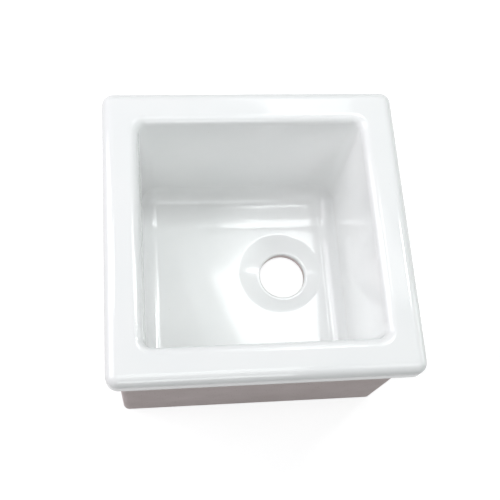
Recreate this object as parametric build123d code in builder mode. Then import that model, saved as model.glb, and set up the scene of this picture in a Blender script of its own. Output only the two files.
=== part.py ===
from build123d import *
import os

# Undermount utility sink in fireclay, with four hangers under the rim.
# Millimetres. Origin at the centre of the base, +Z up, +Y to the back, +X to the right.

# Basin, outside
sink_width = 508.0
sink_depth = 508.0
sink_height = 318.0
rim_thickness = 40.0
rim_overhang = 18.0
rim_top_round = 18.0
rim_corner_over_round = 2.0
rim_bottom_round = 3.0
outer_draft_angle = 0.2
base_round = 8.0
bowl_corner_over_round = 4.0
ledge_fillet = 2.0

# Basin, inside
wall_thickness = 42.0
inner_draft = 3.0
opening_corner_radius = 14.0
lip_round = 15.0
cove_radius = 30.0
floor_corner_over_cove = 8.0
base_thickness = 19.0
floor_fall = 0.03
dish_radius = 81.0
dish_depth = 6.0
dish_gap_to_cove = 4.0
dish_edge_round = 20.0

# Drain hole, for a 3 1/2 inch strainer
drain_radius = 44.5
drain_behind_centre = 12.0
drain_right_of_dish = 6.0
drain_ahead_of_dish = 5.0
drain_edge_round = 4.0
drain_seat_margin = 2.0
drain_bottom_chamfer = 1.5

# Hangers
hanger_spacing = 300.0
hanger_width = 14.0
hanger_reach = 46.0
hanger_thickness = 3.0
hanger_wall_gap = 1.5
hanger_edge_break = 0.5
stud_hole_radius = 3.5
pivot_clearance = 0.3

# Bolts, washers, pads and inserts
bolt_radius = 3.0
bolt_length = 16.0
bolt_head_across_flats = 10.0
bolt_head_height = 4.0
bolt_tip_chamfer = 0.8
bolt_head_chamfer = 0.5
washer_radius = 6.0
washer_thickness = 1.6
pad_radius = 6.0
pad_thickness = 2.0
insert_wall = 1.4
insert_length = 12.0
groove_count = 1
groove_width = 1.4
groove_depth = 0.4
insert_hole_extra_depth = 2.0
thread_clearance = 0.05
resin_gap = 0.05

# Places worked out from the sizes above
ledge_height = sink_height - rim_thickness
rim_corner_radius = rim_top_round + rim_corner_over_round
bowl_corner_radius = base_round + bowl_corner_over_round
floor_corner_radius = cove_radius + floor_corner_over_cove
bowl_width = sink_width - 2 * rim_overhang
bowl_depth = sink_depth - 2 * rim_overhang
opening_width = bowl_width - 2 * wall_thickness
opening_depth = bowl_depth - 2 * wall_thickness
pivot_x = bowl_width / 2 + hanger_wall_gap + hanger_width / 2
pivot_y = hanger_spacing / 2
dish_top = base_thickness + dish_depth
dish_x = opening_width / 2 - inner_draft - cove_radius - dish_gap_to_cove - dish_radius
dish_y = drain_behind_centre + drain_ahead_of_dish
drain_x = dish_x + drain_right_of_dish
drain_y = drain_behind_centre
drain_seat_radius = drain_radius + drain_edge_round + drain_seat_margin
floor_reach = sink_width
insert_radius = bolt_radius + insert_wall
insert_hole_radius = insert_radius + resin_gap
insert_hole_depth = insert_length + insert_hole_extra_depth

os.makedirs("parts", exist_ok=True)


def finish(piece, name):
    """Label a finished piece and write it under its name."""
    piece.part.label = name
    export_step(piece.part, f"parts/{name}.step")


# The hollow of the bowl: drafted walls and a cove over a floor that falls to a round dish at the drain
with BuildPart() as hollow:
    with BuildSketch(Plane.XY):
        RectangleRounded(
            opening_width - 2 * inner_draft, opening_depth - 2 * inner_draft, floor_corner_radius
        )
    with BuildSketch(Plane.XY.offset(sink_height)):
        RectangleRounded(opening_width, opening_depth, opening_corner_radius)
    loft()
    with BuildSketch(Plane(origin=(dish_x, dish_y, 0), x_dir=(1, 0, 0), z_dir=(0, -1, 0))):
        with BuildLine():
            Polyline(
                (0, dish_top),
                (dish_radius, dish_top),
                (floor_reach, dish_top + floor_fall * (floor_reach - dish_radius)),
                (floor_reach, sink_height),
                (0, sink_height),
                close=True,
            )
        make_face()
    revolve(axis=Axis((dish_x, dish_y, 0), (0, 0, 1)), mode=Mode.INTERSECT)
    sloping_floor = hollow.faces().sort_by(Axis.Z)[1]
    fillet(sloping_floor.outer_wire().edges(), radius=cove_radius)
    with BuildSketch(Plane.XY.offset(base_thickness)):
        with Locations((drain_x, drain_y)):
            Circle(drain_seat_radius)
    with BuildSketch(Plane.XY.offset(dish_top)):
        with Locations((dish_x, dish_y)):
            Circle(dish_radius)
    loft()
    dish_edge = hollow.edges().filter_by(GeomType.CIRCLE).sort_by(SortBy.RADIUS)[-1]
    fillet(dish_edge, radius=dish_edge_round)

# Pivots of the hangers: each plane lies on the ledge, faces down, and points along the stowed strap
hanger_places = {
    "left_front": (-1, -1),
    "left_rear": (-1, 1),
    "right_front": (1, -1),
    "right_rear": (1, 1),
}
pivots = {
    place: Plane(
        origin=(side * pivot_x, end * pivot_y, ledge_height),
        x_dir=(0, -end, 0),
        z_dir=(0, 0, -1),
    )
    for place, (side, end) in hanger_places.items()
}

# The basin is one fired piece
with BuildPart() as basin:
    with BuildSketch(Plane.XY.offset(ledge_height)):
        RectangleRounded(bowl_width, bowl_depth, bowl_corner_radius)
    extrude(amount=-ledge_height, taper=outer_draft_angle)
    fillet(basin.faces().sort_by(Axis.Z)[0].edges(), radius=base_round)
    with BuildSketch(Plane.XY.offset(ledge_height)):
        RectangleRounded(sink_width, sink_depth, rim_corner_radius)
    extrude(amount=rim_thickness)
    ledge = basin.faces().filter_by(Axis.Z).sort_by(Axis.Z)[1]
    fillet(ledge.inner_wires().edges(), radius=ledge_fillet)
    ledge = basin.faces().filter_by(Axis.Z).sort_by(Axis.Z)[1]
    fillet(ledge.outer_wire().edges(), radius=rim_bottom_round)
    fillet(basin.faces().sort_by(Axis.Z)[-1].edges(), radius=rim_top_round)
    add(hollow.part, mode=Mode.SUBTRACT)
    fillet(basin.faces().sort_by(Axis.Z)[-1].inner_wires().edges(), radius=lip_round)
    drain_mouth = (drain_x, drain_y, base_thickness)
    drain_outlet = (drain_x, drain_y, 0)
    with Locations(drain_mouth):
        Hole(radius=drain_radius, depth=base_thickness)
    fillet(basin.edges().filter_by(GeomType.CIRCLE).sort_by_distance(drain_mouth)[0], radius=drain_edge_round)
    chamfer(
        basin.edges().filter_by(GeomType.CIRCLE).sort_by_distance(drain_outlet)[0],
        length=drain_bottom_chamfer,
    )
    for pivot in pivots.values():
        with BuildSketch(pivot):
            Circle(insert_hole_radius)
        extrude(amount=-insert_hole_depth, mode=Mode.SUBTRACT)
finish(basin, "basin")

for place, pivot in pivots.items():

    # Brass insert with a threaded bore, set in the blind hole
    with BuildPart() as insert:
        with BuildSketch(pivot):
            Circle(insert_radius)
            Circle(bolt_radius, mode=Mode.SUBTRACT)
        extrude(amount=-insert_length)
        for groove in range(groove_count):
            with BuildSketch(pivot.offset(-insert_length * (groove + 1) / (groove_count + 1))):
                Circle(insert_radius)
                Circle(insert_radius - groove_depth, mode=Mode.SUBTRACT)
            extrude(amount=groove_width / 2, both=True, mode=Mode.SUBTRACT)
    finish(insert, f"insert_{place}")

    # Rubber pad between fireclay and steel
    with BuildPart() as pad:
        with BuildSketch(pivot):
            Circle(pad_radius)
            Circle(bolt_radius + pivot_clearance, mode=Mode.SUBTRACT)
        extrude(amount=pad_thickness)
    finish(pad, f"pad_{place}")

    # Steel hanger strap, turning on the bolt
    with BuildPart() as hanger:
        with BuildSketch(pivot.offset(pad_thickness)):
            with Locations((hanger_reach / 2, 0)):
                SlotCenterToCenter(hanger_reach, hanger_width)
            Circle(bolt_radius + pivot_clearance, mode=Mode.SUBTRACT)
            with Locations((hanger_reach, 0)):
                Circle(stud_hole_radius, mode=Mode.SUBTRACT)
        extrude(amount=hanger_thickness)
        chamfer(hanger.faces().sort_by(Axis.Z)[0].outer_wire().edges(), length=hanger_edge_break)
    finish(hanger, f"hanger_{place}")

    # Plain washer
    washer_seat = pad_thickness + hanger_thickness
    with BuildPart() as washer:
        with BuildSketch(pivot.offset(washer_seat)):
            Circle(washer_radius)
            Circle(bolt_radius + pivot_clearance, mode=Mode.SUBTRACT)
        extrude(amount=washer_thickness)
    finish(washer, f"washer_{place}")

    # Hexagon head bolt
    head_seat = washer_seat + washer_thickness
    with BuildPart() as bolt:
        with BuildSketch(pivot.offset(head_seat)):
            RegularPolygon(bolt_head_across_flats / 2, 6, major_radius=False)
        extrude(amount=bolt_head_height)
        chamfer(bolt.faces().sort_by(Axis.Z)[0].edges(), length=bolt_head_chamfer)
        with BuildSketch(pivot.offset(head_seat)):
            Circle(bolt_radius - thread_clearance)
        extrude(amount=-bolt_length)
        chamfer(bolt.faces().sort_by(Axis.Z)[-1].edges(), length=bolt_tip_chamfer)
    finish(bolt, f"bolt_{place}")
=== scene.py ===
import math

import bpy
from mathutils import Matrix, Vector


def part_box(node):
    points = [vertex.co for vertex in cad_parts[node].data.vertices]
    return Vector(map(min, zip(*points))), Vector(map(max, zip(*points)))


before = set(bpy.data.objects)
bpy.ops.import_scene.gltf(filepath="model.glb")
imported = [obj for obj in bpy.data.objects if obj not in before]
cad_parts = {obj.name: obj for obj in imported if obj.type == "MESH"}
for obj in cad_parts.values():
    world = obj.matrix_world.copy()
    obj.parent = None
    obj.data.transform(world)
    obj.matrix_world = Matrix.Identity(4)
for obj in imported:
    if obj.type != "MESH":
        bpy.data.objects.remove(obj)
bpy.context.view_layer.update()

scene = bpy.context.scene

# The photograph's camera: a square picture, and its place measured from the top of the rim
PICTURE_WIDTH_PX = 500
FOCAL_LENGTH_PX = 835.9
SENSOR_WIDTH_MM = 36.0
CAMERA_PLACE = Vector((-0.1875, -0.5028, 1.2606))
CAMERA_TILT_DEG = 21.28
CAMERA_ROLL_DEG = 17.18
CAMERA_TURN_DEG = -20.07

# Heights of the basin in metres, and a reach from its middle that is just outside the hollow
RIM_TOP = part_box("basin")[1][2]
RIM_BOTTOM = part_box("pad_left_front")[1][2]
HOLLOW_REACH = 0.2
DRAIN_SEAT_HEIGHT = 0.019

# The stretch that most noise values lie in
NOISE_SPAN = (0.3, 0.7)
CLOUD_SPAN = (0.35, 0.65)
STAIN_SPAN = (0.35, 0.7)
DUST_SPAN = (0.45, 0.75)

# Sockets of a Mix node that mixes colours
MIX_FIRST_COLOUR = 6
MIX_SECOND_COLOUR = 7
MIX_RESULT_COLOUR = 2

WHITE = (1.0, 1.0, 1.0, 1.0)


# Node helpers
def new_material(name):
    """An empty node material, its tree and its output node."""
    material = bpy.data.materials.new(name)
    material.use_nodes = True
    tree = material.node_tree
    tree.nodes.clear()
    output = tree.nodes.new("ShaderNodeOutputMaterial")
    return material, tree, output


def set_socket(tree, socket, value):
    """Links a socket to another one, or sets its number or colour."""
    if isinstance(value, bpy.types.NodeSocket):
        tree.links.new(value, socket)
    else:
        socket.default_value = value


def add_node(tree, kind, settings=None, **inputs):
    """Adds a node, sets its properties, and sets or links its inputs by name."""
    node = tree.nodes.new(kind)
    for key, value in (settings or {}).items():
        setattr(node, key, value)
    for key, value in inputs.items():
        set_socket(tree, node.inputs[key.replace("_", " ")], value)
    return node


def object_place(tree):
    """The place on the object, in metres."""
    return add_node(tree, "ShaderNodeTexCoord").outputs["Object"]


def noise(tree, place, scale, detail=2.0, roughness=0.5):
    """Noise at so many waves a metre."""
    return add_node(
        tree, "ShaderNodeTexNoise", Vector=place, Scale=scale, Detail=detail, Roughness=roughness
    ).outputs["Fac"]


def stretched_noise(tree, place, scales, detail, roughness=0.5):
    """Noise with its own number of waves a metre along each axis."""
    stretched = add_node(tree, "ShaderNodeMapping", Vector=place)
    stretched.inputs["Scale"].default_value = scales
    return noise(tree, stretched.outputs[0], 1.0, detail, roughness)


def spread(tree, value, low, high, to_low, to_high, kind="LINEAR"):
    """Maps a stretch of values onto another one, and stops at its ends."""
    return add_node(
        tree, "ShaderNodeMapRange", {"interpolation_type": kind, "clamp": True}, Value=value,
        From_Min=low, From_Max=high, To_Min=to_low, To_Max=to_high,
    ).outputs["Result"]


def maths(tree, operation, first, second=0.0):
    """Two numbers or sockets brought together."""
    node = add_node(tree, "ShaderNodeMath", {"operation": operation})
    set_socket(tree, node.inputs[0], first)
    set_socket(tree, node.inputs[1], second)
    return node.outputs[0]


def colour_mix(tree, share, first, second):
    """The first colour at 0 and the second one at 1."""
    mix = add_node(tree, "ShaderNodeMix", {"data_type": "RGBA"}, Factor=share)
    set_socket(tree, mix.inputs[MIX_FIRST_COLOUR], first)
    set_socket(tree, mix.inputs[MIX_SECOND_COLOUR], second)
    return mix.outputs[MIX_RESULT_COLOUR]


def bumps(tree, *layers):
    """Bump layers of (height, distance) on top of each other; gives the last normal."""
    normal = None
    for height, distance in layers:
        layer = add_node(
            tree, "ShaderNodeBump", Strength=1.0, Distance=distance, Height=height
        )
        if normal is not None:
            tree.links.new(normal, layer.inputs["Normal"])
        normal = layer.outputs["Normal"]
    return normal


def surface(tree, normal, **inputs):
    """A Principled surface with a normal."""
    shader = add_node(tree, "ShaderNodeBsdfPrincipled", **inputs)
    tree.links.new(normal, shader.inputs["Normal"])
    return shader.outputs["BSDF"]


# Glazed fireclay: white gloss glaze, and the bare body where the glaze ends
GLAZE_WHITE = (0.96, 0.963, 0.958, 1.0)
GLAZE_THICK = (0.94, 0.948, 0.944, 1.0)
GLAZE_SPECK = (0.55, 0.52, 0.47, 1.0)
GLAZE_IOR = 1.52
GLAZE_ROUGHNESS = (0.06, 0.10)
GLAZE_CLOUD_WAVES = 9.0
GLAZE_ROUGHNESS_WAVES = 14.0
GLAZE_SPECK_CELLS = 70.0
GLAZE_SPECK_SIZE = 0.035
GLAZE_RIPPLE_WAVES = 22.0
GLAZE_RIPPLE_HEIGHT = 0.0002
GLAZE_PEEL_WAVES = 260.0
GLAZE_PEEL_HEIGHT = 0.000006

BODY_PALE = (0.80, 0.70, 0.69, 1.0)
BODY_DARK = (0.72, 0.625, 0.61, 1.0)
BODY_IRON = (0.42, 0.33, 0.28, 1.0)
BODY_GLOSS = 0.2
BODY_ROUGHNESS = (0.6, 0.85)
BODY_PATCH_WAVES = 16.0
BODY_IRON_CELLS = 220.0
BODY_IRON_SIZE = 0.22
BODY_LUMP_WAVES = 45.0
BODY_LUMP_HEIGHT = 0.0004
BODY_GRAIN_WAVES = 900.0
BODY_GRAIN_HEIGHT = 0.00012

SPECK_CORE = 0.6
SPECK_CHANCE_ABOVE = 0.82

GLAZE_EDGE_WAVES = 60.0
GLAZE_EDGE_FADE = 0.004
DRAIN_GLAZE_DEPTH = 0.006

# The floor's soft rise towards the rear cove: its height, its place, and its fade up the wall
FLOOR_RISE = 0.0065
FLOOR_RISE_START = 0.110
FLOOR_RISE_END = 0.180
FLOOR_RISE_FADE = 0.07


def specks(tree, place, scale, size):
    """1 on sparse round specks, 0 between them."""
    cells = add_node(tree, "ShaderNodeTexVoronoi", Vector=place, Scale=scale)
    near = spread(tree, cells.outputs["Distance"], size * SPECK_CORE, size, 1.0, 0.0)
    split = add_node(tree, "ShaderNodeSeparateColor", Color=cells.outputs["Color"])
    chosen = maths(tree, "GREATER_THAN", split.outputs[0], SPECK_CHANCE_ABOVE)
    return maths(tree, "MULTIPLY", near, chosen)


def bare_share(tree, place):
    """1 outside under the rim and low in the drain hole, where the body is bare."""
    x, y, z = add_node(tree, "ShaderNodeSeparateXYZ", Vector=place).outputs
    reach = maths(tree, "MAXIMUM", maths(tree, "ABSOLUTE", x), maths(tree, "ABSOLUTE", y))
    outside = maths(tree, "GREATER_THAN", reach, HOLLOW_REACH)
    edge_noise = noise(tree, place, GLAZE_EDGE_WAVES)
    ragged = maths(tree, "MULTIPLY", edge_noise, GLAZE_EDGE_FADE)
    height = maths(tree, "SUBTRACT", z, ragged)
    under_rim = spread(tree, height, RIM_BOTTOM - GLAZE_EDGE_FADE, RIM_BOTTOM, 1.0, 0.0)
    drain_edge = DRAIN_SEAT_HEIGHT - DRAIN_GLAZE_DEPTH
    in_drain = spread(tree, height, drain_edge - GLAZE_EDGE_FADE, drain_edge, 1.0, 0.0)
    return maths(tree, "MAXIMUM", maths(tree, "MULTIPLY", outside, under_rim), in_drain)


def floor_rise(tree, place):
    """The soft rise of the floor before the rear cove, in metres, faded out up the wall."""
    axes = add_node(tree, "ShaderNodeSeparateXYZ", Vector=place).outputs
    rise = spread(
        tree, axes[1], FLOOR_RISE_START, FLOOR_RISE_END, 0.0, FLOOR_RISE, "SMOOTHSTEP"
    )
    fade = spread(tree, axes[2], FLOOR_RISE_FADE, RIM_BOTTOM, 1.0, 0.0, "SMOOTHSTEP")
    return maths(tree, "MULTIPLY", rise, fade)


def glaze_shader(tree, place):
    """White gloss glaze with faint clouds, sparse specks and a slightly uneven skin."""
    clouds = spread(tree, noise(tree, place, GLAZE_CLOUD_WAVES, 3.0), *CLOUD_SPAN, 0.0, 1.0)
    colour = colour_mix(tree, clouds, GLAZE_WHITE, GLAZE_THICK)
    specked = specks(tree, place, GLAZE_SPECK_CELLS, GLAZE_SPECK_SIZE)
    colour = colour_mix(tree, specked, colour, GLAZE_SPECK)
    normal = bumps(
        tree,
        (floor_rise(tree, place), 1.0),
        (noise(tree, place, GLAZE_RIPPLE_WAVES, 1.0), GLAZE_RIPPLE_HEIGHT),
        (noise(tree, place, GLAZE_PEEL_WAVES, 1.0), GLAZE_PEEL_HEIGHT),
    )
    smears = noise(tree, place, GLAZE_ROUGHNESS_WAVES)
    roughness = spread(tree, smears, *NOISE_SPAN, *GLAZE_ROUGHNESS)
    return surface(tree, normal, Base_Color=colour, IOR=GLAZE_IOR, Roughness=roughness)


def body_shader(tree, place):
    """Bare, matt, rosy clay with iron specks and a sandy grain."""
    patches = spread(tree, noise(tree, place, BODY_PATCH_WAVES, 4.0), *NOISE_SPAN, 0.0, 1.0)
    colour = colour_mix(tree, patches, BODY_PALE, BODY_DARK)
    iron = specks(tree, place, BODY_IRON_CELLS, BODY_IRON_SIZE)
    colour = colour_mix(tree, iron, colour, BODY_IRON)
    grain = noise(tree, place, BODY_GRAIN_WAVES, 3.0, 0.7)
    normal = bumps(
        tree,
        (noise(tree, place, BODY_LUMP_WAVES, 3.0), BODY_LUMP_HEIGHT),
        (grain, BODY_GRAIN_HEIGHT),
    )
    roughness = spread(tree, grain, *NOISE_SPAN, *BODY_ROUGHNESS)
    return surface(
        tree, normal, Base_Color=colour, Specular_IOR_Level=BODY_GLOSS, Roughness=roughness
    )


def glazed_fireclay():
    material, tree, output = new_material("glazed_fireclay")
    place = object_place(tree)
    both = add_node(tree, "ShaderNodeMixShader", Fac=bare_share(tree, place))
    tree.links.new(glaze_shader(tree, place), both.inputs[1])
    tree.links.new(body_shader(tree, place), both.inputs[2])
    tree.links.new(both.outputs[0], output.inputs["Surface"])
    return material


# Fixings
BRASS_BRIGHT = (0.80, 0.62, 0.32, 1.0)
BRASS_DULL = (0.56, 0.42, 0.20, 1.0)
BRASS_ROUGHNESS = (0.22, 0.42)
BRASS_TARNISH_WAVES = 180.0
BRASS_LATHE_WAVES = (20.0, 20.0, 4000.0)
BRASS_LATHE_HEIGHT = 0.00003

RUBBER_BLACK = (0.022, 0.022, 0.023, 1.0)
RUBBER_DUSTY = (0.075, 0.073, 0.07, 1.0)
RUBBER_ROUGHNESS = (0.6, 0.85)
RUBBER_DUST_WAVES = 260.0
RUBBER_GRAIN_WAVES = 2600.0
RUBBER_GRAIN_HEIGHT = 0.00004

ZINC_BRIGHT = (0.68, 0.69, 0.70, 1.0)
ZINC_GREY = (0.47, 0.48, 0.48, 1.0)
ZINC_ROUGHNESS = (0.25, 0.48)
ZINC_STAIN_WAVES = 120.0
ZINC_SCRATCH_WAVES = (2400.0, 160.0, 160.0)
ZINC_SCRATCH_HEIGHT = 0.00003
ZINC_DENT_WAVES = 420.0
ZINC_DENT_HEIGHT = 0.00003


def turned_brass():
    """Brass with the lathe's rings, which change only with height."""
    material, tree, output = new_material("turned_brass")
    place = object_place(tree)
    lines = stretched_noise(tree, place, BRASS_LATHE_WAVES, 2.0)
    tarnish = spread(
        tree, noise(tree, place, BRASS_TARNISH_WAVES, 4.0), *STAIN_SPAN, 0.0, 1.0
    )
    shader = surface(
        tree, bumps(tree, (lines, BRASS_LATHE_HEIGHT)),
        Base_Color=colour_mix(tree, tarnish, BRASS_BRIGHT, BRASS_DULL), Metallic=1.0,
        Roughness=spread(tree, lines, *NOISE_SPAN, *BRASS_ROUGHNESS),
    )
    tree.links.new(shader, output.inputs["Surface"])
    return material


def black_rubber():
    """Matt rubber with dust and a fine grain."""
    material, tree, output = new_material("black_rubber")
    place = object_place(tree)
    dust = spread(tree, noise(tree, place, RUBBER_DUST_WAVES, 4.0), *DUST_SPAN, 0.0, 1.0)
    grain = noise(tree, place, RUBBER_GRAIN_WAVES)
    shader = surface(
        tree, bumps(tree, (grain, RUBBER_GRAIN_HEIGHT)),
        Base_Color=colour_mix(tree, dust, RUBBER_BLACK, RUBBER_DUSTY),
        Roughness=spread(tree, grain, *NOISE_SPAN, *RUBBER_ROUGHNESS),
    )
    tree.links.new(shader, output.inputs["Surface"])
    return material


def zinc_plate():
    """Bright plated steel with grey stains, fine scratches and small dents."""
    material, tree, output = new_material("zinc_plated_steel")
    place = object_place(tree)
    stains = spread(tree, noise(tree, place, ZINC_STAIN_WAVES, 4.0), *STAIN_SPAN, 0.0, 1.0)
    marks = stretched_noise(tree, place, ZINC_SCRATCH_WAVES, 3.0, 0.6)
    normal = bumps(
        tree, (marks, ZINC_SCRATCH_HEIGHT),
        (noise(tree, place, ZINC_DENT_WAVES), ZINC_DENT_HEIGHT),
    )
    shader = surface(
        tree, normal,
        Base_Color=colour_mix(tree, stains, ZINC_BRIGHT, ZINC_GREY), Metallic=1.0,
        Roughness=spread(tree, marks, *NOISE_SPAN, *ZINC_ROUGHNESS),
    )
    tree.links.new(shader, output.inputs["Surface"])
    return material


# Each CAD node takes its material by the first word of its name
STEEL = zinc_plate()
MATERIALS = {
    "basin": glazed_fireclay(),
    "insert": turned_brass(),
    "pad": black_rubber(),
    "hanger": STEEL,
    "washer": STEEL,
    "bolt": STEEL,
}
for node_name, node_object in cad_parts.items():
    node_object.data.materials.clear()
    node_object.data.materials.append(MATERIALS[node_name.split("_")[0]])


# Floor and background: white to the eye, plain pale to the light
FLOOR_SIZE = 12.0
FLOOR_COLOUR = (0.45, 0.45, 0.45, 1.0)
FLOOR_GLOW = 0.74
FLOOR_GLOW_FAR = 1.0
SHADOW_REACH = (0.8, 2.2)


def seen_directly(tree):
    """1 where the eye, a gloss or a glass looks straight at it."""
    path = add_node(tree, "ShaderNodeLightPath").outputs
    eye_or_gloss = maths(tree, "MAXIMUM", path["Is Camera Ray"], path["Is Glossy Ray"])
    return maths(tree, "MAXIMUM", eye_or_gloss, path["Is Transmission Ray"])


def white_floor():
    """Its glow is a little weaker round the object, so that a soft shadow stays."""
    material, tree, output = new_material("white_floor")
    distance = add_node(
        tree, "ShaderNodeVectorMath", {"operation": "LENGTH"}, Vector=object_place(tree)
    ).outputs["Value"]
    diffuse = add_node(tree, "ShaderNodeBsdfDiffuse", Color=FLOOR_COLOUR)
    strength = spread(tree, distance, *SHADOW_REACH, FLOOR_GLOW, FLOOR_GLOW_FAR, "SMOOTHSTEP")
    glow = add_node(tree, "ShaderNodeEmission", Color=WHITE, Strength=strength)
    both = add_node(tree, "ShaderNodeAddShader")
    tree.links.new(diffuse.outputs[0], both.inputs[0])
    tree.links.new(glow.outputs[0], both.inputs[1])
    choice = add_node(tree, "ShaderNodeMixShader", Fac=seen_directly(tree))
    tree.links.new(diffuse.outputs[0], choice.inputs[1])
    tree.links.new(both.outputs[0], choice.inputs[2])
    tree.links.new(choice.outputs[0], output.inputs["Surface"])
    return material


bpy.ops.mesh.primitive_plane_add(size=FLOOR_SIZE, location=(0.0, 0.0, 0.0))
floor = bpy.context.object
floor.name = "floor"
floor.data.materials.append(white_floor())


# World: dim to the object, white to the eye
WORLD_LIGHT = 0.035
WORLD_SEEN = 1.0

world = bpy.data.worlds.new("studio")
scene.world = world
world.use_nodes = True
sky = world.node_tree
sky.nodes.clear()
sky_strength = add_node(sky, "ShaderNodeMix", {"data_type": "FLOAT"}, Factor=seen_directly(sky))
sky_strength.inputs["A"].default_value = WORLD_LIGHT
sky_strength.inputs["B"].default_value = WORLD_SEEN
background = add_node(
    sky, "ShaderNodeBackground", Color=WHITE, Strength=sky_strength.outputs["Result"]
)
sky_output = add_node(sky, "ShaderNodeOutputWorld")
sky.links.new(background.outputs[0], sky_output.inputs["Surface"])


# Lamps: soft boxes round the object, and a window overhead that the floor mirrors
COOL_WHITE = (0.96, 1.0, 1.0)
ROSY_WHITE = (1.0, 0.98, 1.02)
LAMP_AIM = Vector((0.0, 0.0, 0.2))

# Place and size in metres, power in watts, colour, and the turn of a lamp that faces down
LAMPS = {
    "left": ((-2.3, 0.3, 2.0), (2.4, 2.4), 56.0, ROSY_WHITE),
    "rear_left": ((-0.78, 0.66, 2.3), (0.6, 0.35), 4.2, COOL_WHITE, 0.0),
    "rear_right": ((1.3, 0.66, 2.3), (0.3, 0.3), 9.5, COOL_WHITE),
    "rear": ((0.5, 1.7, 2.3), (0.7, 0.6), 3.0, COOL_WHITE),
    "front": ((0.0, -2.7, 1.4), (1.0, 1.0), 10.0, COOL_WHITE),
    "front_right": ((1.06, -1.06, 2.3), (1.0, 1.0), 5.8, COOL_WHITE),
    "over_front": ((0.0, -0.6, 2.6), (1.0, 1.0), 6.0, COOL_WHITE),
    "right_low": ((2.6, 0.0, 1.0), (1.2, 1.2), 12.0, COOL_WHITE),
    "window": ((0.42, 0.51, 1.82), (0.36, 0.34), 2.2, COOL_WHITE, 15.0),
    "window_haze": ((0.42, 0.51, 1.83), (0.60, 0.55), 1.3, COOL_WHITE, 15.0),
    "rear_glint": ((0.36, 1.09, 1.82), (0.12, 0.2), 0.25, COOL_WHITE, 0.0),
}


def soft_box(name, place, size, power, colour, turn_deg=None):
    """A rectangular lamp that faces the object, or straight down when it has a turn."""
    lamp = bpy.data.lights.new(name, "AREA")
    lamp.shape = "RECTANGLE"
    lamp.size, lamp.size_y = size
    lamp.energy = power
    lamp.color = colour
    lamp_object = bpy.data.objects.new(name, lamp)
    scene.collection.objects.link(lamp_object)
    lamp_object.location = place
    if turn_deg is None:
        facing = LAMP_AIM - Vector(place)
        lamp_object.rotation_euler = facing.to_track_quat("-Z", "Y").to_euler()
    else:
        lamp_object.rotation_euler = (0.0, 0.0, math.radians(turn_deg))
    lamp_object.visible_camera = False


for lamp_name, lamp_settings in LAMPS.items():
    soft_box(lamp_name, *lamp_settings)

# Camera
camera_data = bpy.data.cameras.new("camera")
camera_data.sensor_width = SENSOR_WIDTH_MM
camera_data.lens = FOCAL_LENGTH_PX / PICTURE_WIDTH_PX * SENSOR_WIDTH_MM
camera = bpy.data.objects.new("camera", camera_data)
scene.collection.objects.link(camera)
place = Matrix.Translation(CAMERA_PLACE + Vector((0.0, 0.0, RIM_TOP)))
turn = Matrix.Rotation(math.radians(CAMERA_TURN_DEG), 4, "Z")
tilt = Matrix.Rotation(math.radians(CAMERA_TILT_DEG), 4, "X")
roll = Matrix.Rotation(math.radians(CAMERA_ROLL_DEG), 4, "Z")
camera.matrix_world = place @ turn @ tilt @ roll
scene.camera = camera

scene.view_settings.view_transform = "Standard"
